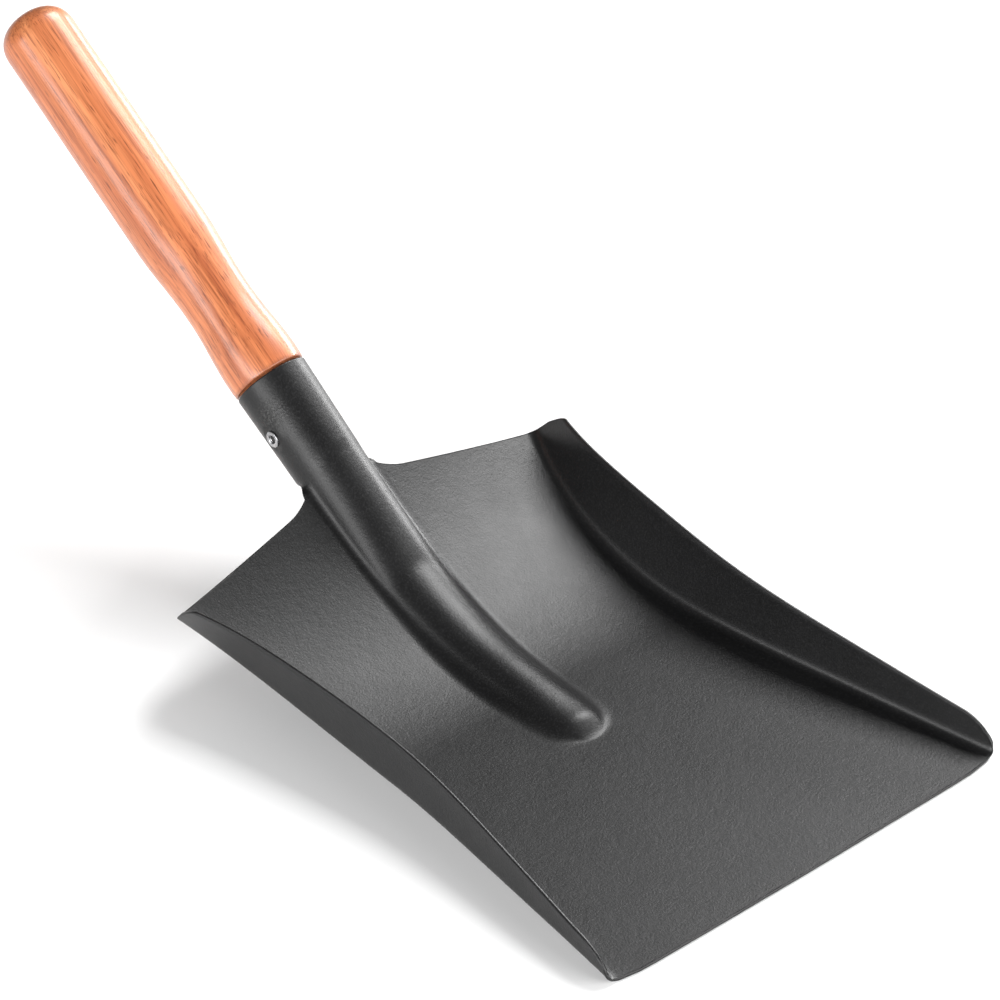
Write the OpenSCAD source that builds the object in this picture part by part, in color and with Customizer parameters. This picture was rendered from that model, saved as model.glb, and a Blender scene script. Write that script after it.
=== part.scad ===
// Hand scoop shovel.
// One pressed steel sheet makes the pan, its two side walls, the stiffening rib
// and the rolled socket. A turned wooden handle fits in the socket and one
// semi-tubular rivet across both holds it.
// Millimetres. +Z is up, the mouth of the pan faces -Y, the handle rises to +Y.
// The origin is at the middle of the footprint, on the plane the pan rests on.

/* [Pan] */
// Width of the pan across its two bends at the front edge
front_width = 222; // [190:1:250]
// Length of the pan along its side bends
pan_length = 280; // [260:1:300]
// How much each side bend draws in from front to back
side_taper = 45; // [35:1:50]
// How much each side bend spreads again at the back edge
rear_spread = 38; // [28:1:42]
// Length of the flat floor, measured from the front edge
flat_length = 176; // [150:1:190]
// Height of the side bends at the back edge
rear_rise = 28; // [20:1:34]
// Thickness of the steel sheet
sheet = 1.5; // [1:0.1:2]
// Height of the side walls at the front edge
wall_front = 13.6; // [10:0.1:20]
// Height that the wall tops gain from front to back
wall_gain = 29.6; // [22:0.1:36]
// Outward lean of the side walls
wall_lean = 1.4; // [0.5:0.1:5]
// Extra lean of the walls behind their middle
wall_belly = 7.2; // [0:0.1:9]
// Size of the rounded bend between floor and wall
bend_size = 6; // [4:0.5:9]
// How far the back edge bows out at the middle
rear_bow = 9; // [4:0.5:12]
// How far the front edge stands ahead of the side bends
front_lip = 1; // [0:0.5:4]

/* [Rib] */
// Height of the rib over the floor
rib_height = 9.5; // [6:0.5:13]
// Distance of the rib's nose from the front edge
rib_nose = 123; // [105:1:135]
// Length over which the rib gains its full height behind its nose
rib_fade = 50; // [30:1:70]
// How far the rib's nose stands off the middle, to the -X side
rib_drift = 4; // [0:0.5:5]

/* [Socket] */
// Rise angle of the socket and the handle
rise_angle = 34.8; // [32:0.2:38]
// Distance of the socket mouth behind the front edge
mouth_y = 336; // [330:1:345]
// Height of the socket mouth's centre
mouth_z = 76; // [74:1:80]
// Outer radius of the socket at its mouth
mouth_radius = 17.2; // [16:0.1:18]
// Outer radius of the socket where it meets the pan
root_radius = 16; // [14.6:0.1:16.4]
// Half of the open seam's angle under the socket
seam_angle = 2; // [1:0.5:4]
// Size of the hollow curves between the socket and the back edge
root_fillet = 3; // [0:0.5:8]

/* [Handle] */
// Length of the handle outside the socket
grip_length = 198; // [150:1:240]
// Radius of the handle's grip
grip_radius = 17.4; // [15:0.1:18]
// Radius of the neck between the grip and the socket
neck_radius = 15.5; // [14:0.1:17]
// Length of the tenon inside the socket
tenon_length = 40; // [34:1:44]
// Length of the rounded end
end_length = 14; // [8:1:18]

/* [Rivet] */
// Distance of the rivet from the socket mouth
rivet_back = 24; // [18:1:28]
// Radius of the rivet's shank
shank_radius = 2.5; // [2:0.1:3]
// Radius of the rivet's head and of its rolled end
head_radius = 3.8; // [3.5:0.1:4.5]
// Height of the head and of the rolled end
head_height = 0.9; // [0.6:0.1:1.4]

/* [Hidden] */

ROWS = 48;      // stations from the front edge to the back edge
ARC = 10;       // steps over each half of the rib
FIL = 4;        // steps of the fillet beside the rib
FLO = 5;        // steps over the floor
BND = 4;        // steps round the bend
WAL = 3;        // steps up the wall
HALF = ARC + FIL + FLO + BND + WAL;
COLS = 2 * HALF;
TUBE = 11;      // rings of the socket behind the back edge

// the bore of the socket is the underside of the sheet
bore_mouth = mouth_radius - sheet;
bore_root = root_radius - sheet;
axis_dir = [0, cos(rise_angle), sin(rise_angle)];
axis_up = [0, -sin(rise_angle), cos(rise_angle)];
mouth = [0, mouth_y, mouth_z];
back_y = pan_length + rear_bow;
root_a = -(mouth_y - back_y) / cos(rise_angle);
root_z = mouth_z + root_a * sin(rise_angle);
function bore(a) = bore_mouth + (bore_root - bore_mouth) * a / root_a;

function clamp(v, a, b) = min(b, max(a, v));
function smooth(v) = let (c = clamp(v, 0, 1)) c * c * (3 - 2 * c);
function mix(a, b, k) = a + (b - a) * k;
function bez(p, q, r, k) = mix(mix(p, q, k), mix(q, r, k), k);
function unit(v) = v / norm(v);

// stations crowd together near both ends, where the walls are rounded
function station(i) = let (k = i / ROWS) k - 0.1 * sin(360 * k);

// plan and height of the side bends, and of the tops of the walls
function back(t) = clamp((t * pan_length - flat_length) / (pan_length - flat_length), 0, 1);
function bend_x(t) = front_width / 2 - side_taper * t + rear_spread * pow(t, 4)
    + 1.2 * exp(-pow((t - 0.3) / 0.2, 2));
function bend_z(t) = rear_rise * pow(back(t), 1.73);
function lean(t) = wall_lean + wall_belly * exp(-pow((t - 0.754) / 0.265, 2));
function top_y(t) = 10 + (pan_length - 24) * t - 5 * pow(1 - clamp(t * pan_length / 25, 0, 1), 2);
function top_z(t) = wall_front + (wall_gain + 6) * t - 6 * pow(t, 3);
function corner(t) = let (
    f = t * pan_length, r = (1 - t) * pan_length,
    a = f < 12 ? sqrt(1 - pow(1 - (f + 1) / 13, 2)) : 1,
    b = r < 5 ? sqrt(1 - pow(1 - (r + 1) / 6, 2)) : 1) a * b;
// the front corners of the sheet are rounded off across the bends
function nip(t) = 3 * pow(1 - clamp(t * pan_length / 12, 0, 1), 2);
function bend_p(t) = [bend_x(t), t * pan_length + nip(t), bend_z(t)];
function wall_p(t) = mix(bend_p(t), [bend_x(t) + lean(t), top_y(t), top_z(t)], corner(t));

// the rib and the floor beside it
function rib_fill(t) = smooth((t * back_y - rib_nose) / 13)
    * mix(0.58, 1, smooth((t * back_y - rib_nose - 8) / rib_fade));
function rib_end(t) = clamp((t * back_y - rib_nose) / 22, 0, 1);
function rib_x(t) = mix(1 + 10.3 * sqrt(1 - pow(1 - rib_end(t), 2)), bore_root,
    smooth((t * back_y - 140) / 120));
crown_1 = (root_z - rear_rise) / pow(1 - 1.35 * bore_root / bend_x(1), 1.15);
function floor_z(x, t) = bend_z(t)
    + crown_1 * pow(back(t), 1.5) * pow(max(0, 1 - x / bend_x(t)), 1.15);
function base_z(t) = floor_z(1.35 * rib_x(t), t);
function socket_top(t) = let (a = -(mouth_y - t * back_y) / cos(rise_angle))
    mouth_z + a * sin(rise_angle) + bore(a) / cos(rise_angle);
function rib_top(t) = let (
    p = socket_top(t), q = base_z(t) + rib_height * rib_fill(t), k = 5 * (1 - t) + 0.01,
    h = max(k - abs(p - q), 0) / k) max(p, q) + h * h * k / 4;
function inward(x, t) = clamp((bend_x(t) - x) / (bend_x(t) - 1.35 * rib_x(t)), 0, 1);
function floor_y(x, t) = t * (pan_length + rear_bow * inward(x, t))
    - front_lip * pow(1 - t, 12) * sqrt(inward(x, t))
    + nip(t) * pow(clamp(1 - (bend_x(t) - x) / 22, 0, 1), 2);

// next to the socket the back edge is drawn out along the handle's axis
function pull(s) = root_fillet * pow(max(0, (s - 0.6) / 0.4), 2);
function draw(s, t) = pull(s) * smooth((t - 0.88) / 0.12) * axis_dir;

// points of one half section, from the middle of the rib to the top of the wall
function mid_y(t) = t * back_y - front_lip * pow(1 - t, 12);
// the rib's arc ends at this angle and its fillet starts
function arc_end(t) = mix(55, 72, smooth((t * back_y - 170) / 110));
function arc_p(t, ph) = [rib_x(t) * sin(ph), mid_y(t),
    base_z(t) + (rib_top(t) - base_z(t)) * cos(ph)];
function half_p(t, j) =
    let (
        r = rib_x(t),
        e = arc_end(t), p0 = arc_p(t, e), p1 = [r / sin(e), p0.y, base_z(t)],
        x2 = p1.x + 5.3, p2 = [x2, floor_y(x2, t), floor_z(x2, t)],
        c = bend_p(t), w = wall_p(t),
        xb = c.x - bend_size, pb = [xb, floor_y(xb, t), floor_z(xb, t)],
        pw = mix(c, w, min(0.8, bend_size / norm(w - c)))
    )
    j <= ARC ? arc_p(t, e * j / ARC) + draw(j / ARC, t)
    : j <= ARC + FIL ? bez(p0, p1, p2, (j - ARC) / FIL) + draw(1, t)
    : j <= ARC + FIL + FLO ? let (x = mix(x2, xb, pow((j - ARC - FIL) / FLO, 1.6)))
        [x, floor_y(x, t), floor_z(x, t)] + draw(max(0, 1 - 0.4 * (x - x2) / 12), t)
    : j <= HALF - WAL ? bez(pb, c, pw, (j - ARC - FIL - FLO) / BND)
    : mix(pw, w, (j - HALF + WAL) / WAL);
function drift(t, m) = rib_drift * (1 - smooth((t * back_y - 180) / 100))
    * (1 - pow(clamp((m - ARC - FIL) / FLO, 0, 1), 1.6));
function pan_p(i, j) = let (t = station(i), m = abs(j - HALF), p = half_p(t, m))
    [(j < HALF ? -p.x : p.x) - drift(t, m), p.y, p.z];

// rings of the socket: the rib and its fillets wrap on until their edges meet underneath
function share(m) = m <= ARC ? m / ARC * 2 / 3 : (2 + (m - ARC) / FIL) / 3;
function tube_p(k, j) =
    let (
        p = PAN[ROWS][j] - mouth, u = p.x, v = p * axis_up,
        a = mix(p * axis_dir, 0, k / TUBE),
        end = sign(j - HALF) * share(abs(j - HALF)) * (180 - seam_angle),
        ph = mix(atan2(u, v), end, smooth(k / TUBE / 0.45)),
        r = mix(norm([u, v]), bore(a), smooth(k / TUBE / 0.15))
    )
    mouth + a * axis_dir + r * (sin(ph) * [1, 0, 0] + cos(ph) * axis_up);

PAN = [for (i = [0:ROWS]) [for (j = [0:COLS]) pan_p(i, j)]];
J1 = HALF - ARC - FIL;
J2 = HALF + ARC + FIL;
SOCKET = [for (k = [0:TUBE]) [for (j = [0:COLS]) k == 0 ? PAN[ROWS][j]
    : j >= J1 && j <= J2 ? tube_p(k, j) : [0, 0, 0]]];

function at(r, j) = r <= ROWS ? PAN[r][j] : SOCKET[r - ROWS][j];
function face_up(r, j) =
    let (
        in_rib = j >= J1 && j <= J2,
        lo = r > ROWS ? J1 : 0, hi = r > ROWS ? J2 : COLS,
        last = in_rib ? ROWS + TUBE : ROWS,
        du = at(r, min(hi, j + 1)) - at(r, max(lo, j - 1)),
        dv = at(min(last, r + 1), j) - at(max(0, r - 1), j)
    ) unit(cross(du, dv));
W = COLS + 1;
WT = J2 - J1 + 1;
NP = (ROWS + 1) * W;
LOW = concat(
    [for (i = [0:ROWS]) for (j = [0:COLS]) PAN[i][j]],
    [for (k = [1:TUBE]) for (j = [J1:J2]) SOCKET[k][j]]);
HIGH = concat(
    [for (i = [0:ROWS]) for (j = [0:COLS]) PAN[i][j] + sheet * face_up(i, j)],
    [for (k = [1:TUBE]) for (j = [J1:J2]) SOCKET[k][j] + sheet * face_up(ROWS + k, j)]);
NL = len(LOW);
function id(r, j) = r <= ROWS ? r * W + j : NP + (r - ROWS - 1) * WT + j - J1;
CELLS = concat(
    [for (i = [0:ROWS - 1]) for (j = [0:COLS - 1]) [i, j]],
    [for (k = [0:TUBE - 1]) for (j = [J1:J2 - 1]) [ROWS + k, j]]);
RIM = concat(
    [for (j = [0:COLS]) id(0, j)],
    [for (i = [1:ROWS]) id(i, COLS)],
    [for (j = [COLS - 1:-1:J2]) id(ROWS, j)],
    [for (k = [1:TUBE]) id(ROWS + k, J2)],
    [for (j = [J2 - 1:-1:J1]) id(ROWS + TUBE, j)],
    [for (k = [TUBE - 1:-1:1]) id(ROWS + k, J1)],
    [for (j = [J1:-1:0]) id(ROWS, j)],
    [for (i = [ROWS - 1:-1:1]) id(i, 0)]);
NR = len(RIM);
FACES = concat(
    [for (c = CELLS) [id(c[0], c[1]), id(c[0], c[1] + 1), id(c[0] + 1, c[1] + 1)]],
    [for (c = CELLS) [id(c[0], c[1]), id(c[0] + 1, c[1] + 1), id(c[0] + 1, c[1])]],
    [for (c = CELLS) [NL + id(c[0], c[1]), NL + id(c[0] + 1, c[1] + 1), NL + id(c[0], c[1] + 1)]],
    [for (c = CELLS) [NL + id(c[0], c[1]), NL + id(c[0] + 1, c[1]), NL + id(c[0] + 1, c[1] + 1)]],
    [for (q = [0:NR - 1]) [RIM[q], NL + RIM[(q + 1) % NR], RIM[(q + 1) % NR]]],
    [for (q = [0:NR - 1]) [RIM[q], NL + RIM[q], NL + RIM[(q + 1) % NR]]]);

// profile of the handle outside the socket: [radius, distance from the mouth]
shoulder = 1;
GRIP = concat(
    [[mouth_radius - 0.4, shoulder], [mouth_radius, shoulder + 0.5]],
    [for (a = [4:4:40]) [mix(mouth_radius + 0.2, neck_radius, smooth((a - 8) / 32)), a]],
    [for (a = [44:4:80]) [mix(neck_radius, grip_radius, smooth((a - 44) / 36)), a]],
    [for (q = [0:0.1:1]) [(grip_radius - 0.2) * pow(1 - pow(q, 2.3), 1 / 2.3),
        grip_length - end_length + end_length * q]]);

// the whole part is moved back so that its footprint is centred
end_y = mouth_y + max([for (p = GRIP) p[1] * cos(rise_angle) + p[0] * sin(rise_angle)]);
shift_y = (front_lip - end_y) / 2;

// puts a shape drawn along +Z onto the axis of the socket, with z = 0 at its mouth
module on_axis() {
    translate([0, mouth_y + shift_y, mouth_z])
        rotate([rise_angle - 90, 0, 0]) children();
}

// puts a shape drawn along +Z across the socket at the rivet, pointing to -X
module across() {
    on_axis() translate([0, 0, -rivet_back]) rotate([0, -90, 0]) children();
}

// Pan, walls, rib and socket, pressed from one sheet
seat = bore(-rivet_back) + sheet - 0.4;
module blade() {
    color([0.07, 0.07, 0.075])
        difference() {
            translate([0, shift_y, 0])
                polyhedron(points = concat(LOW, HIGH), faces = FACES, convexity = 10);
            across() cylinder(r = shank_radius, h = 60, center = true, $fn = 48);
            // flats under the rivet's two ends
            across() {
                translate([0, 0, seat]) cylinder(r = head_radius + 0.2, h = 10, $fn = 48);
                translate([0, 0, -seat - 10]) cylinder(r = head_radius + 0.2, h = 10, $fn = 48);
            }
        }
}

// Turned handle: tenon, shoulder at the socket mouth, neck, grip and rounded end
fit = 0.3;
tenon_r0 = bore(-tenon_length) - fit;
tenon_r1 = bore(0) - fit;
module handle() {
    color([0.72, 0.36, 0.2])
        difference() {
            on_axis() rotate_extrude($fn = 96)
                polygon(concat(
                    [[0, -tenon_length], [tenon_r0 - 2, -tenon_length],
                     [tenon_r0, 2 - tenon_length], [tenon_r1, shoulder]], GRIP));
            across() cylinder(r = shank_radius, h = 60, center = true, $fn = 48);
        }
}

// Semi-tubular rivet: a low domed head on one side, a hollow rolled end on the other
module rivet() {
    h = head_height;
    color([0.75, 0.75, 0.77])
        across() rotate_extrude($fn = 64)
            polygon(concat(
                [for (k = [0:5]) let (q = k / 5) [head_radius * q, -seat - h * (1 - q * q * 0.75)]],
                [[head_radius, -seat], [shank_radius, -seat], [shank_radius, seat],
                 [head_radius - 0.1, seat], [head_radius, seat + 0.3 * h],
                 [head_radius - 0.4, seat + 0.8 * h], [head_radius - 1, seat + h],
                 [head_radius - 1.7, seat + 0.8 * h], [head_radius - 2.2, seat + 0.2 * h],
                 [1.3, seat - 0.8], [1.3, seat - 4], [0, seat - 4.6]]));
}

blade();
handle();
rivet();
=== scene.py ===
import math

import bpy
import numpy as np
from mathutils import Matrix, Vector


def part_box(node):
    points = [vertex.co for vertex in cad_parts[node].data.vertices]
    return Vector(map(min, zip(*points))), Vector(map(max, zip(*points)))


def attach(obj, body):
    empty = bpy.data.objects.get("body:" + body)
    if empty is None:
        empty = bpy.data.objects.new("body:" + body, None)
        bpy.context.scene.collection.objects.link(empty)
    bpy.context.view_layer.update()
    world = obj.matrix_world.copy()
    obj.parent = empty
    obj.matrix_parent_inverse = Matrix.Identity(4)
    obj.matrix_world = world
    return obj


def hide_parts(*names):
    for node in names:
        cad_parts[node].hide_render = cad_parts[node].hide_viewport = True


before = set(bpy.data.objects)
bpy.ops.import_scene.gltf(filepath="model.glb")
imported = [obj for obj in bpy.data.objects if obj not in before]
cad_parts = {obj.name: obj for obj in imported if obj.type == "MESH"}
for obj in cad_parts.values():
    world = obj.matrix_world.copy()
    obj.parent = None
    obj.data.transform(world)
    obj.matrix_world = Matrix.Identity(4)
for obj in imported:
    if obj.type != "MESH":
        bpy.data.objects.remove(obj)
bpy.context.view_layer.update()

# ---------------------------------------------------------------- dimensions
# The same driving sizes as the CAD source, in millimetres.
FRONT_W, PAN_L, TAPER, SPREAD = 222.0, 280.0, 45.0, 38.0
FLAT_L, REAR_RISE, SHEET = 176.0, 28.0, 1.5
WALL_FRONT, WALL_GAIN, WALL_LEAN, WALL_BELLY = 13.6, 29.6, 1.4, 7.2
BEND, BOW, LIP = 6.0, 9.0, 1.0
RIB_H, RIB_NOSE, RIB_FADE, RIB_DRIFT = 9.5, 123.0, 50.0, 4.0
RISE, MOUTH_Y, MOUTH_Z = math.radians(34.8), 336.0, 76.0
MOUTH_R, ROOT_R, SEAM = 17.2, 16.0, 2.0
ROOT_FILLET = 3.0
GRIP_L, GRIP_R, NECK_R, TENON_L, END_L = 198.0, 17.4, 15.5, 40.0, 14.0
RIVET_BACK, SHANK_R, HEAD_R, HEAD_H = 24.0, 2.5, 3.8, 0.9
BORE_M, BORE_R = MOUTH_R - SHEET, ROOT_R - SHEET
BACK_Y = PAN_L + BOW
AX = np.array([0.0, math.cos(RISE), math.sin(RISE)])
UP = np.array([0.0, -math.sin(RISE), math.cos(RISE)])
XH = np.array([1.0, 0.0, 0.0])
MOUTH = np.array([0.0, MOUTH_Y, MOUTH_Z])
ROOT_A = -(MOUTH_Y - BACK_Y) / math.cos(RISE)
ROOT_Z = MOUTH_Z + ROOT_A * math.sin(RISE)

# the CAD part is moved so that its footprint is centred: read that shift from the frame
blade_lo, blade_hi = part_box("blade")
SHIFT = np.array([0.0, blade_lo[1] * 1000.0 + LIP, 0.0])


def bore(a):
    return BORE_M + (BORE_R - BORE_M) * a / ROOT_A


def smooth(v):
    c = np.clip(v, 0.0, 1.0)
    return c * c * (3 - 2 * c)


def mix(a, b, k):
    return a + (b - a) * k


# ------------------------------------------------------------- pressed sheet
def back(t):
    # the same rise as the CAD's, with a softer start
    return np.clip((t * PAN_L - FLAT_L + 18) / (PAN_L - FLAT_L + 18), 0, 1) ** 1.19


def bend_x(t):
    return FRONT_W / 2 - TAPER * t + SPREAD * t ** 4 + 1.2 * np.exp(-((t - 0.3) / 0.2) ** 2)


def bend_z(t):
    return REAR_RISE * back(t) ** 1.73


def lean(t):
    return WALL_LEAN + WALL_BELLY * np.exp(-((t - 0.754) / 0.265) ** 2)


def top_y(t):
    return 10 + (PAN_L - 24) * t - 5 * (1 - np.clip(t * PAN_L / 25, 0, 1)) ** 2


def nip(t):
    # the front corners of the sheet are rounded off across the bends
    return 3 * (1 - np.clip(t * PAN_L / 12, 0, 1)) ** 2


def top_z(t):
    return WALL_FRONT + (WALL_GAIN + 6) * t - 6 * t ** 3


def corner(t):
    f, r = t * PAN_L, (1 - t) * PAN_L
    a = np.sqrt(np.clip(1 - np.clip(1 - (f + 1) / 13, 0, 1) ** 2, 0, 1))
    b = np.sqrt(np.clip(1 - np.clip(1 - (r + 1) / 6, 0, 1) ** 2, 0, 1))
    return a * b


def rib_fill(t):
    return smooth((t * BACK_Y - RIB_NOSE) / 13) * mix(0.58, 1.0, smooth((t * BACK_Y - RIB_NOSE - 8) / RIB_FADE))


def rib_x(t):
    end = np.clip((t * BACK_Y - RIB_NOSE) / 22, 0, 1)
    return mix(1 + 10.3 * np.sqrt(1 - (1 - end) ** 2), BORE_R, smooth((t * BACK_Y - 140) / 120))


CROWN = (ROOT_Z - REAR_RISE) / (1 - 1.35 * BORE_R / bend_x(1.0)) ** 1.15


def floor_z(x, t):
    return bend_z(t) + CROWN * back(t) ** 1.5 * np.clip(1 - x / bend_x(t), 0, 1) ** 1.15


def base_z(t):
    return floor_z(1.35 * rib_x(t), t)


def rib_top(t):
    a = -(MOUTH_Y - t * BACK_Y) / math.cos(RISE)
    p = MOUTH_Z + a * math.sin(RISE) + bore(a) / math.cos(RISE)
    q = base_z(t) + RIB_H * rib_fill(t)
    k = 5 * (1 - t) + 0.01
    h = np.clip(k - np.abs(p - q), 0, None) / k
    return np.maximum(p, q) + h * h * k / 4


def inward(x, t):
    return np.clip((bend_x(t) - x) / (bend_x(t) - 1.35 * rib_x(t)), 0, 1)


def floor_y(x, t):
    return t * (PAN_L + BOW * inward(x, t)) - LIP * (1 - t) ** 12 * np.sqrt(inward(x, t)) + nip(t) * np.clip(1 - (bend_x(t) - x) / 22, 0, 1) ** 2


def pull(s):
    return ROOT_FILLET * np.clip((s - 0.6) / 0.4, 0, None) ** 2




def arc_end(t):
    return np.radians(mix(55.0, 72.0, smooth((t * BACK_Y - 170) / 110)))


ROWS, ARC, FIL, FLO, BND, WAL = 320, 28, 12, 16, 10, 8
HALF = ARC + FIL + FLO + BND + WAL
COLS = 2 * HALF
TUBE = 84
J1, J2 = HALF - ARC - FIL, HALF + ARC + FIL


def half_section(t):
    """Points from the middle of the rib to the top of the wall, at every station: (len(t), HALF + 1, 3)."""
    t = t[:, None]
    g = smooth((t - 0.88) / 0.12)

    def stack(x, y, z):
        x, y, z = np.broadcast_arrays(x, y, z)
        return np.stack([x, y, z], -1)

    def drawn(p, s):
        return p + (pull(s) * g)[..., None] * AX

    r, bz, rt = rib_x(t), base_z(t), rib_top(t)
    h = rt - bz
    my = t * BACK_Y - LIP * (1 - t) ** 12
    s = np.linspace(0, 1, ARC + 1)[None, :]
    e = arc_end(t)
    arc = drawn(stack(r * np.sin(e * s), my + 0 * s, bz + h * np.cos(e * s)), s)
    p0 = stack(r * np.sin(e), my, bz + h * np.cos(e))
    p1 = stack(r / np.sin(e), my, bz)
    x2 = p1[..., 0] + 5.3
    p2 = stack(x2, floor_y(x2, t), floor_z(x2, t))
    q = np.linspace(0, 1, FIL + 1)[None, 1:, None]
    fil = drawn(mix(mix(p0, p1, q), mix(p1, p2, q), q), np.ones((1, 1)))
    c = stack(bend_x(t), t * PAN_L + nip(t), bend_z(t))
    w = mix(c, stack(bend_x(t) + lean(t), top_y(t), top_z(t)), corner(t)[..., None])
    xb = c[..., 0] - BEND
    pb = stack(xb, floor_y(xb, t), floor_z(xb, t))
    pw = mix(c, w, np.minimum(0.8, BEND / np.linalg.norm(w - c, axis=-1))[..., None])
    k = (np.linspace(0, 1, FLO + 1)[None, 1:]) ** 1.6
    xf = mix(x2, xb, k)
    flo = drawn(stack(xf, floor_y(xf, t), floor_z(xf, t)), np.clip(1 - 0.4 * (xf - x2) / 12, 0, None))
    q = np.linspace(0, 1, BND + 1)[None, 1:, None]
    bnd = mix(mix(pb, c, q), mix(c, pw, q), q)
    q = np.linspace(0, 1, WAL + 1)[None, 1:, None]
    wal = mix(pw, w, q)
    return np.concatenate([arc, fil, flo, bnd, wal], axis=1)


def sheet_grid():
    k = np.arange(ROWS + 1) / ROWS
    t = k - 0.1 * np.sin(2 * np.pi * k)
    half = half_section(t)
    pan = np.concatenate([half[:, :0:-1] * np.array([-1.0, 1, 1]), half], axis=1)
    m = np.abs(np.arange(COLS + 1) - HALF)[None, :]
    pan[..., 0] -= (RIB_DRIFT * (1 - smooth((t[:, None] * BACK_Y - 180) / 100))
                    * (1 - np.clip((m - ARC - FIL) / FLO, 0, 1) ** 1.6))
    # the socket: the rib and its fillets wrap on until their edges meet underneath
    kk = np.arange(1, TUBE + 1)[:, None] / TUBE
    p = pan[-1, J1:J2 + 1] - MOUTH
    u, v, ar = p[:, 0], p @ UP, p @ AX
    m = np.arange(J1, J2 + 1) - HALF
    n = np.abs(m)
    share = np.where(n <= ARC, n / ARC * 2 / 3, (2 + (n - ARC) / FIL) / 3)
    end = np.sign(m) * share * math.radians(180 - SEAM)
    a = ar * (1 - kk)
    ph = mix(np.arctan2(u, v)[None, :], end[None, :], smooth(kk / 0.45))
    r = mix(np.hypot(u, v)[None, :], bore(a), smooth(kk / 0.15))[..., None]
    tube = MOUTH + a[..., None] * AX + r * (np.sin(ph)[..., None] * XH + np.cos(ph)[..., None] * UP)
    return pan, tube


def make_mesh(name, verts, faces, smooth_shade=True):
    me = bpy.data.meshes.new(name)
    me.from_pydata([tuple(v) for v in verts], [], [tuple(f) for f in faces])
    me.validate()
    me.update()
    if smooth_shade:
        me.polygons.foreach_set("use_smooth", [True] * len(me.polygons))
    ob = bpy.data.objects.new(name, me)
    bpy.context.scene.collection.objects.link(ob)
    return ob


def build_blade():
    pan, tube = sheet_grid()
    W, WT = COLS + 1, J2 - J1 + 1
    NP = (ROWS + 1) * W
    P = np.concatenate([pan.reshape(-1, 3), tube.reshape(-1, 3)])

    def vid(r, j):
        return r * W + j if r <= ROWS else NP + (r - ROWS - 1) * WT + j - J1

    cells = [(i, j) for i in range(ROWS) for j in range(COLS)]
    cells += [(ROWS + k, j) for k in range(TUBE) for j in range(J1, J2)]
    quads = np.array([[vid(i, j), vid(i, j + 1), vid(i + 1, j + 1), vid(i + 1, j)] for i, j in cells])

    # the rivet sits in a small pressed dimple on each side of the socket
    c = MOUTH - RIVET_BACK * AX
    d = P - c
    rho = np.hypot(d @ AX, d @ UP)
    seat = bore(-RIVET_BACK) - 0.4
    near = 1 - smooth((rho - HEAD_R - 0.5) / 2.6)
    side = np.sign(P[:, 0])
    on_wall = np.abs(P[:, 0]) > 8
    P[:, 0] = np.where(on_wall, mix(P[:, 0], side * seat, near), P[:, 0])

    # normals of the sheet's underside, pointing up and out of the rib and the socket
    n = np.zeros_like(P)
    fn = np.cross(P[quads[:, 1]] - P[quads[:, 3]], P[quads[:, 2]] - P[quads[:, 0]])
    for q in range(4):
        np.add.at(n, quads[:, q], fn)
    n /= np.linalg.norm(n, axis=1)[:, None]

    rim = [vid(0, j) for j in range(COLS + 1)]
    rim += [vid(i, COLS) for i in range(1, ROWS + 1)]
    rim += [vid(ROWS, j) for j in range(COLS - 1, J2 - 1, -1)]
    rim += [vid(ROWS + k, J2) for k in range(1, TUBE + 1)]
    rim += [vid(ROWS + TUBE, j) for j in range(J2 - 1, J1 - 1, -1)]
    rim += [vid(ROWS + k, J1) for k in range(TUBE - 1, 0, -1)]
    rim += [vid(ROWS, j) for j in range(J1, -1, -1)]
    rim += [vid(i, 0) for i in range(ROWS - 1, 0, -1)]
    rim = np.array(rim)
    tang = P[np.roll(rim, -1)] - P[np.roll(rim, 1)]
    out = np.cross(tang, n[rim])
    out /= np.linalg.norm(out, axis=1)[:, None]
    bulge = 0.45
    P[rim] -= bulge * out
    T = P + SHEET * n
    N = len(P)
    verts = [P, T]
    faces = [quads[:, ::-1], quads + N]
    # rounded cut edge: four strips round a half ellipse
    steps = 5
    rings = [rim]
    base = 2 * N
    mid, nr = P[rim] + SHEET / 2 * n[rim], n[rim]
    for s in range(1, steps):
        al = -math.pi / 2 + math.pi * s / steps
        verts.append(mid + SHEET / 2 * math.sin(al) * nr + bulge * math.cos(al) * out)
        rings.append(np.arange(base, base + len(rim)))
        base += len(rim)
    rings.append(rim + N)
    for a, b in zip(rings[:-1], rings[1:]):
        a2, b2 = np.roll(a, -1), np.roll(b, -1)
        faces.append(np.stack([a, a2, b2, b], 1))
    V = (np.concatenate(verts) + SHIFT) / 1000.0
    F = np.concatenate(faces)
    return make_mesh("blade_sheet", V, F)


# ---------------------------------------------------------------- the lathe
def lathe(name, prof, origin, axis, up, side, seg=128, scale=1.0):
    """Turns [radius, distance] pairs about an axis. Ends on the axis are closed with a fan."""
    ph = np.linspace(0, 2 * np.pi, seg, endpoint=False)
    verts, rows = [], []
    for r, a in prof:
        if r < 1e-6:
            rows.append([len(verts)])
            verts.append(origin + a * axis)
        else:
            rows.append(list(range(len(verts), len(verts) + seg)))
            for p in ph:
                verts.append(origin + a * axis + r * (math.cos(p) * up + math.sin(p) * side))
    faces = []
    for lo, hi in zip(rows[:-1], rows[1:]):
        for q in range(seg):
            q2 = (q + 1) % seg
            if len(lo) == 1:
                faces.append((lo[0], hi[q2], hi[q]))
            elif len(hi) == 1:
                faces.append((lo[q], lo[q2], hi[0]))
            else:
                faces.append((lo[q], lo[q2], hi[q2], hi[q]))
    V = (np.array(verts) + SHIFT) / 1000.0
    return make_mesh(name, V, faces)


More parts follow.
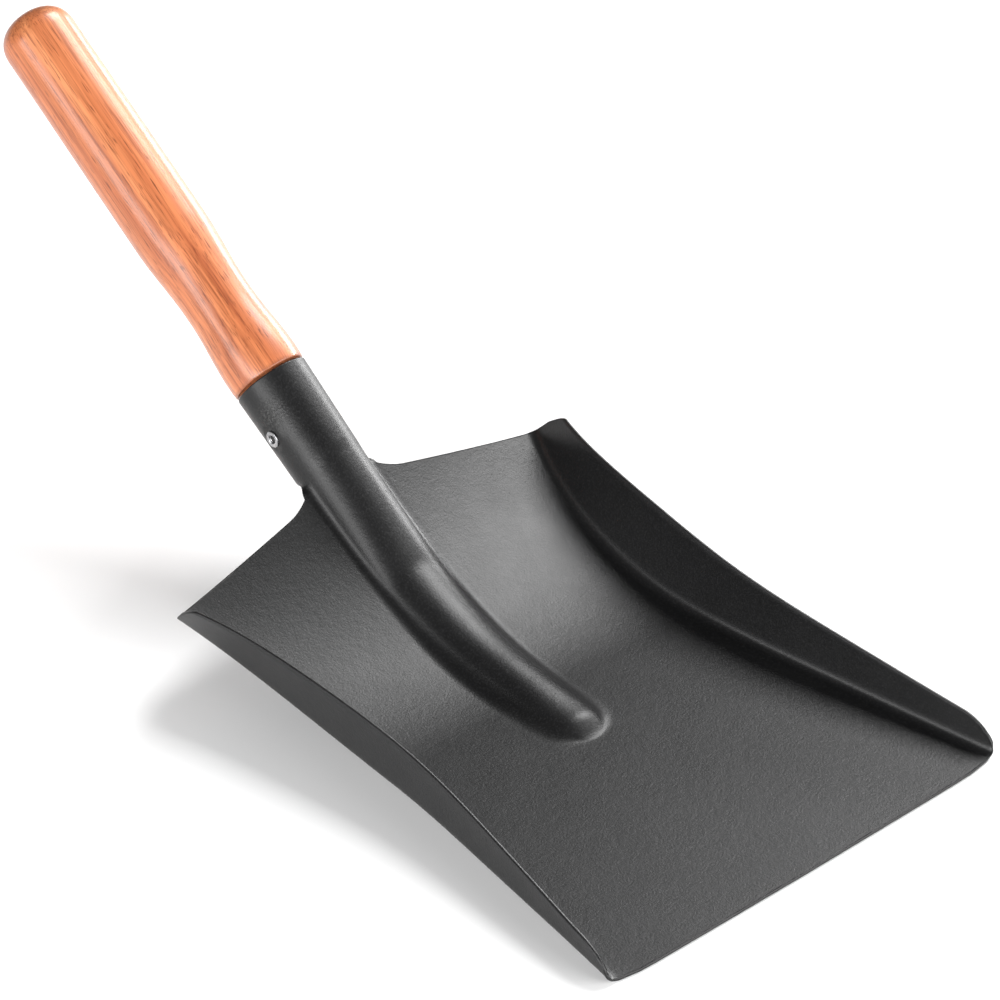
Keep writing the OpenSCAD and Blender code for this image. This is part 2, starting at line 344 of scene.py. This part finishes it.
def build_handle():
    prof = [(0.0, -TENON_L)]
    r0, r1 = bore(-TENON_L) - 0.3, bore(0) - 0.3
    prof += [(r0 * k, -TENON_L) for k in (0.3, 0.6, 0.8)]
    prof += [(r0 - 2 + 2 * math.sin(q), -TENON_L + 2 - 2 * math.cos(q)) for q in np.linspace(0, math.pi / 2, 6)]
    prof += [(mix(r0, r1, k), mix(-TENON_L + 2, 0.9, k)) for k in np.linspace(0.1, 1, 12)]
    # small rounded shoulder on the socket's mouth
    prof += [(MOUTH_R - 0.9, 0.95), (MOUTH_R - 0.5, 1.05), (MOUTH_R - 0.2, 1.25), (MOUTH_R - 0.03, 1.6), (MOUTH_R + 0.02, 2.1)]
    for a in np.arange(3.0, GRIP_L - END_L, 1.5):
        r = mix(MOUTH_R + 0.2, NECK_R, smooth((a - 8) / 32))
        r = mix(r, GRIP_R, smooth((a - 44) / 36)) if a > 40 else r
        r = mix(r, MOUTH_R + 0.05, 1 - smooth((a - 1) / 5)) if a < 6 else r
        r -= 0.25 * smooth((a - 90) / 90)
        prof.append((r, a))
    for q in np.linspace(0, 1, 40):
        q = math.sin(q * math.pi / 2)
        r = (GRIP_R - 0.25) * max(0.0, 1 - q ** 2.3) ** (1 / 2.3)
        prof.append((r, GRIP_L - END_L + END_L * q))
    return lathe("turned_handle", prof, MOUTH, AX, UP, XH, seg=160)


def build_rivet():
    seat = bore(-RIVET_BACK) + SHEET - 0.4
    h = HEAD_H
    prof = [(0.0, -seat - h)]
    for k in range(1, 13):
        q = k / 12
        prof.append((HEAD_R * q, -seat - h * (1 - q ** 2 * 0.75) if q < 1 else -seat - 0.25 * h))
    prof += [(HEAD_R - 0.02, -seat - 0.08), (HEAD_R - 0.15, -seat + 0.02), (SHANK_R + 0.1, -seat + 0.02), (SHANK_R - 0.02, -seat + 0.1),
             (SHANK_R - 0.02, seat - 0.1), (SHANK_R + 0.1, seat - 0.02), (HEAD_R - 0.15, seat - 0.02), (HEAD_R - 0.02, seat + 0.08)]
    # rolled lip
    for g in np.linspace(-20, 200, 20):
        g = math.radians(g)
        prof.append((HEAD_R - 0.95 + 0.95 * math.cos(g), seat + 0.38 + 0.5 * math.sin(g)))
    prof += [(HEAD_R - 2.05, seat + 0.12), (1.55, seat - 0.1), (1.35, seat - 0.8), (1.3, seat - 4), (0.9, seat - 4.4), (0.0, seat - 4.6)]
    c = MOUTH - RIVET_BACK * AX
    return lathe("tubular_rivet", prof, c, -XH, UP, AX, seg=72)


# ---------------------------------------------------------------- materials
class Nodes:
    def __init__(self, name):
        self.mat = bpy.data.materials.new(name)
        self.mat.use_nodes = True
        self.t = self.mat.node_tree
        self.bsdf = self.t.nodes["Principled BSDF"]

    def add(self, kind, **inputs):
        n = self.t.nodes.new(kind)
        for k, v in inputs.items():
            if hasattr(n, k):
                setattr(n, k, v)
            else:
                key = k.replace("_", " ")
                n.inputs[key].default_value = v
        return n

    def link(self, a, b):
        self.t.links.new(a, b)

    def math(self, op, a, b=None):
        n = self.t.nodes.new("ShaderNodeMath")
        n.operation = op
        for i, v in enumerate((a, b)):
            if v is None:
                continue
            if isinstance(v, (int, float)):
                n.inputs[i].default_value = v
            else:
                self.link(v, n.inputs[i])
        return n.outputs[0]

    def ramp(self, fac, stops, interp="LINEAR"):
        n = self.t.nodes.new("ShaderNodeValToRGB")
        n.color_ramp.interpolation = interp
        e = n.color_ramp.elements
        while len(e) > len(stops):
            e.remove(e[-1])
        while len(e) < len(stops):
            e.new(1.0)
        for el, (p, c) in zip(e, stops):
            el.position = p
            el.color = c if len(c) == 4 else (*c, 1.0)
        self.link(fac, n.inputs[0])
        return n.outputs[0]

    def mixc(self, fac, a, b, mode="MIX"):
        n = self.t.nodes.new("ShaderNodeMix")
        n.data_type = "RGBA"
        n.blend_type = mode
        for i, v in ((0, fac), (6, a), (7, b)):
            if isinstance(v, (int, float)):
                n.inputs[i].default_value = v
            elif isinstance(v, tuple):
                n.inputs[i].default_value = v if len(v) == 4 else (*v, 1.0)
            else:
                self.link(v, n.inputs[i])
        return n.outputs[2]

    def bump(self, height, strength, distance, normal=None):
        n = self.t.nodes.new("ShaderNodeBump")
        n.inputs["Strength"].default_value = strength
        n.inputs["Distance"].default_value = distance
        self.link(height, n.inputs["Height"])
        if normal is not None:
            self.link(normal, n.inputs["Normal"])
        return n.outputs[0]

    def noise(self, vec, scale, detail=2.0, rough=0.5, dims="3D"):
        n = self.t.nodes.new("ShaderNodeTexNoise")
        n.noise_dimensions = dims
        n.inputs["Scale"].default_value = scale
        n.inputs["Detail"].default_value = detail
        n.inputs["Roughness"].default_value = rough
        self.link(vec, n.inputs["Vector"])
        return n.outputs["Fac"]


def powder_coat():
    m = Nodes("black_powder_coat")
    tc = m.add("ShaderNodeTexCoord")
    v = tc.outputs["Object"]
    fine = m.noise(v, 1100.0, 3.0, 0.6)
    peel = m.noise(v, 300.0, 2.0, 0.5)
    blot = m.noise(v, 16.0, 4.0, 0.6)
    patch = m.noise(v, 55.0, 3.0, 0.6)
    # base colour: near black, very slightly mottled
    col = m.ramp(blot, [(0.3, (0.0040, 0.0040, 0.0042)), (0.7, (0.0075, 0.0075, 0.0078))])
    col = m.mixc(m.ramp(fine, [(0.5, (0, 0, 0)), (0.78, (1, 1, 1))]), col, (0.017, 0.017, 0.0175))
    # rough, scuffed paint just above the rivet
    spot = m.t.nodes.new("ShaderNodeVectorMath")
    spot.operation = "DISTANCE"
    m.link(v, spot.inputs[0])
    c = MOUTH - 15.5 * AX - 14.6 * XH + 7.5 * UP + SHIFT
    spot.inputs[1].default_value = tuple(c / 1000.0)
    near = m.ramp(m.math("MULTIPLY", spot.outputs["Value"], 120.0), [(0.35, (1, 1, 1)), (1.0, (0, 0, 0))])
    scuff = m.math("MULTIPLY", near, m.ramp(m.noise(v, 900.0, 2.0, 0.7), [(0.5, (0, 0, 0)), (0.6, (1, 1, 1))]))
    col = m.mixc(m.math("MULTIPLY", scuff, 0.8), col, (0.05, 0.05, 0.048))
    m.link(col, m.bsdf.inputs["Base Color"])
    rough = m.math("ADD", m.math("MULTIPLY", fine, 0.12), m.math("ADD", m.math("MULTIPLY", patch, 0.10), 0.285))
    m.link(rough, m.bsdf.inputs["Roughness"])
    n1 = m.bump(peel, 0.45, 0.00015)
    n2 = m.bump(fine, 0.60, 0.00014, n1)
    n3 = m.bump(scuff, 0.5, 0.0002, n2)
    m.link(n3, m.bsdf.inputs["Normal"])
    m.bsdf.inputs["IOR"].default_value = 1.5
    m.bsdf.inputs["Specular IOR Level"].default_value = 0.40
    return m.mat


def lacquered_wood():
    m = Nodes("lacquered_wood")
    tc = m.add("ShaderNodeTexCoord")
    # turn the coordinates so that Z runs along the handle
    off = m.t.nodes.new("ShaderNodeVectorMath")
    off.operation = "SUBTRACT"
    m.link(tc.outputs["Object"], off.inputs[0])
    o = (MOUTH + SHIFT) / 1000.0
    off.inputs[1].default_value = tuple(o)
    rot = m.t.nodes.new("ShaderNodeVectorRotate")
    rot.rotation_type = "X_AXIS"
    rot.inputs["Angle"].default_value = math.pi / 2 - RISE
    m.link(off.outputs[0], rot.inputs["Vector"])
    sep = m.t.nodes.new("ShaderNodeSeparateXYZ")
    m.link(rot.outputs[0], sep.inputs[0])
    x, y, z = sep.outputs

    def vec(sx, sy, sz):
        n = m.t.nodes.new("ShaderNodeMapping")
        n.inputs["Scale"].default_value = (sx, sy, sz)
        m.link(rot.outputs[0], n.inputs["Vector"])
        return n.outputs[0]

    # growth rings: cylinders about a far pith, bent by slow noise along the grain
    wob = m.noise(vec(22, 22, 5), 1.0, 2.0, 0.5)
    wob2 = m.noise(vec(90, 90, 7), 1.0, 2.0, 0.55)
    px = m.math("ADD", x, 0.019)
    py = m.math("ADD", y, -0.034)
    d = m.math("SQRT", m.math("ADD", m.math("MULTIPLY", px, px), m.math("MULTIPLY", py, py)))
    d = m.math("ADD", d, m.math("MULTIPLY", wob, 0.017))
    d = m.math("ADD", d, m.math("MULTIPLY", wob2, 0.0028))
    d = m.math("ADD", d, m.math("MULTIPLY", z, 0.012))
    ring = m.math("FRACT", m.math("MULTIPLY", d, 175.0))
    ringc = m.ramp(ring, [(0.0, (0.35,) * 3), (0.12, (0.0,) * 3), (0.55, (0.45,) * 3), (0.86, (1.0,) * 3), (1.0, (0.35,) * 3)])
    # broad colour bands, fine fibres and short dark pores
    broad = m.noise(vec(75, 75, 4.0), 1.0, 3.0, 0.55)
    fibre = m.noise(vec(1300, 1300, 30), 1.0, 3.0, 0.65)
    streak = m.noise(vec(330, 330, 8), 1.0, 4.0, 0.62)
    pore = m.noise(vec(1500, 1500, 95), 1.0, 1.0, 0.5)
    base = m.ramp(broad, [(0.30, (0.39, 0.105, 0.036)), (0.47, (0.56, 0.180, 0.066)), (0.68, (0.70, 0.265, 0.108))])
    col = m.mixc(m.math("MULTIPLY", ringc, 0.40), base, (0.34, 0.080, 0.026))
    fl = m.ramp(fibre, [(0.32, (0.50, 0.42, 0.38)), (0.50, (1, 1, 1)), (0.72, (1.16, 1.14, 1.10))])
    col = m.mixc(0.85, col, fl, "MULTIPLY")
    sl = m.ramp(streak, [(0.34, (0.62, 0.48, 0.38)), (0.52, (1, 1, 1)), (0.74, (1.18, 1.18, 1.14))])
    col = m.mixc(0.5, col, sl, "MULTIPLY")
    pm = m.ramp(pore, [(0.64, (0, 0, 0)), (0.70, (1, 1, 1))])
    col = m.mixc(m.math("MULTIPLY", pm, 0.7), col, (0.12, 0.028, 0.010))
    # end grain at the tip drinks more stain
    tip = m.math("SUBTRACT", z, (GRIP_L - 9.0) / 1000.0)
    tipm = m.ramp(m.math("MULTIPLY", tip, 110.0), [(0.0, (0, 0, 0)), (1.0, (1, 1, 1))])
    col = m.mixc(m.math("MULTIPLY", tipm, 0.45), col, (0.26, 0.085, 0.035))
    # painted shade: a dark line painted on the wood where it meets the steel, standing in for the shadow in the gap
    # between them
    mouth_gap_shade = m.ramp(m.math("MULTIPLY", m.math("SUBTRACT", z, 0.0008), 420.0), [(0.0, (1, 1, 1)), (1.0, (0, 0, 0))])
    col = m.mixc(m.math("MULTIPLY", mouth_gap_shade, 0.6), col, (0.10, 0.03, 0.014))
    m.link(col, m.bsdf.inputs["Base Color"])
    rough = m.math("ADD", m.math("MULTIPLY", fibre, 0.16), 0.38)
    m.link(rough, m.bsdf.inputs["Roughness"])
    n1 = m.bump(fibre, 0.35, 0.00008)
    n2 = m.bump(pm, -0.5, 0.0001, n1)
    m.link(n2, m.bsdf.inputs["Normal"])
    m.bsdf.inputs["Coat Weight"].default_value = 0.6
    m.bsdf.inputs["Coat Roughness"].default_value = 0.24
    m.bsdf.inputs["Coat IOR"].default_value = 1.5
    m.bsdf.inputs["IOR"].default_value = 1.45
    return m.mat


def zinc_steel():
    m = Nodes("zinc_steel")
    tc = m.add("ShaderNodeTexCoord")
    v = tc.outputs["Object"]
    n = m.noise(v, 900.0, 4.0, 0.6)
    b = m.noise(v, 240.0, 3.0, 0.6)
    col = m.ramp(b, [(0.3, (0.26, 0.26, 0.27)), (0.55, (0.46, 0.46, 0.47)), (0.8, (0.62, 0.61, 0.60))])
    m.link(col, m.bsdf.inputs["Base Color"])
    m.bsdf.inputs["Metallic"].default_value = 1.0
    m.link(m.math("ADD", m.math("MULTIPLY", n, 0.22), 0.2), m.bsdf.inputs["Roughness"])
    m.link(m.bump(n, 0.3, 0.00006), m.bsdf.inputs["Normal"])
    return m.mat


def stage_mat():
    m = Nodes("pale_floor")
    tc = m.add("ShaderNodeTexCoord")
    n = m.noise(tc.outputs["Object"], 3.0, 2.0, 0.5)
    m.link(m.ramp(n, [(0.3, (0.84, 0.84, 0.84)), (0.7, (0.87, 0.87, 0.87))]), m.bsdf.inputs["Base Color"])
    m.bsdf.inputs["Roughness"].default_value = 0.9
    m.bsdf.inputs["Specular IOR Level"].default_value = 0.1
    return m.mat


# ------------------------------------------------------------------- pieces
blade = build_blade()
blade.data.materials.append(powder_coat())
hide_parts("blade"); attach(blade, "root")

handle = build_handle()
handle.data.materials.append(lacquered_wood())
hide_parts("handle"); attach(handle, "root")

rivet = build_rivet()
rivet.data.materials.append(zinc_steel())
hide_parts("rivet"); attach(rivet, "root")

# -------------------------------------------------------------------- stage
bpy.ops.mesh.primitive_plane_add(size=8.0, location=(0, 0, -0.0003))
ground = bpy.context.object
ground.name = "ground"
ground.data.materials.append(stage_mat())

world = bpy.data.worlds.new("studio")
bpy.context.scene.world = world
world.use_nodes = True
world.node_tree.nodes["Background"].inputs[0].default_value = (1.0, 1.0, 1.0, 1.0)
world.node_tree.nodes["Background"].inputs[1].default_value = 0.09


def area(name, direction, dist, size, size_y, power, target=(0, -0.05, 0.03)):
    d = Vector(direction).normalized()
    la = bpy.data.lights.new(name, "AREA")
    la.shape = "RECTANGLE"
    la.size, la.size_y = size, size_y
    la.energy = power
    ob = bpy.data.objects.new(name, la)
    bpy.context.scene.collection.objects.link(ob)
    ob.location = Vector(target) + d * dist
    ob.rotation_euler = d.to_track_quat("Z", "Y").to_euler()
    return ob


area("key_softbox", (0.67, 0.17, 0.72), 3.0, 1.5, 1.5, 100.0)
area("right_strip", (0.97, 0.14, 0.18), 1.5, 1.0, 0.35, 17.0)
area("left_strip", (-0.95, -0.02, 0.30), 1.7, 1.5, 0.6, 20.0)
area("left_fill", (-0.80, -0.50, 0.36), 2.1, 1.6, 0.9, 30.0)
area("front_fill", (0.36, -0.88, 0.34), 1.9, 1.8, 0.9, 42.0)

# ------------------------------------------------------------------- camera
AZ, EL, ROLL = math.radians(-42.101), math.radians(35.111), math.radians(-0.387)
F_PX, CAM_D, CAM_OFF = 6149.8, 2518.07, (127.018, 151.744)
bk = np.array([math.sin(AZ) * math.cos(EL), -math.cos(AZ) * math.cos(EL), math.sin(EL)])
fwd = -bk
right = np.cross(fwd, [0, 0, 1.0]); right /= np.linalg.norm(right)
down = np.cross(fwd, right)
cr, sr = math.cos(ROLL), math.sin(ROLL)
r2 = cr * right - sr * down
d2 = sr * right + cr * down
loc = -(CAM_OFF[0] * r2 + CAM_OFF[1] * d2 + CAM_D * fwd) + SHIFT
cam_data = bpy.data.cameras.new("camera")
cam = bpy.data.objects.new("camera", cam_data)
bpy.context.scene.collection.objects.link(cam)
M = Matrix(((r2[0], -d2[0], -fwd[0]), (r2[1], -d2[1], -fwd[1]), (r2[2], -d2[2], -fwd[2]))).to_4x4()
M.translation = Vector(tuple(loc / 1000.0))
cam.matrix_world = M
cam_data.sensor_width = 36.0
cam_data.lens = F_PX * 36.0 / 1000.0
cam_data.clip_start, cam_data.clip_end = 0.05, 50.0
bpy.context.scene.camera = cam

bpy.context.scene.view_settings.view_transform = "Standard"
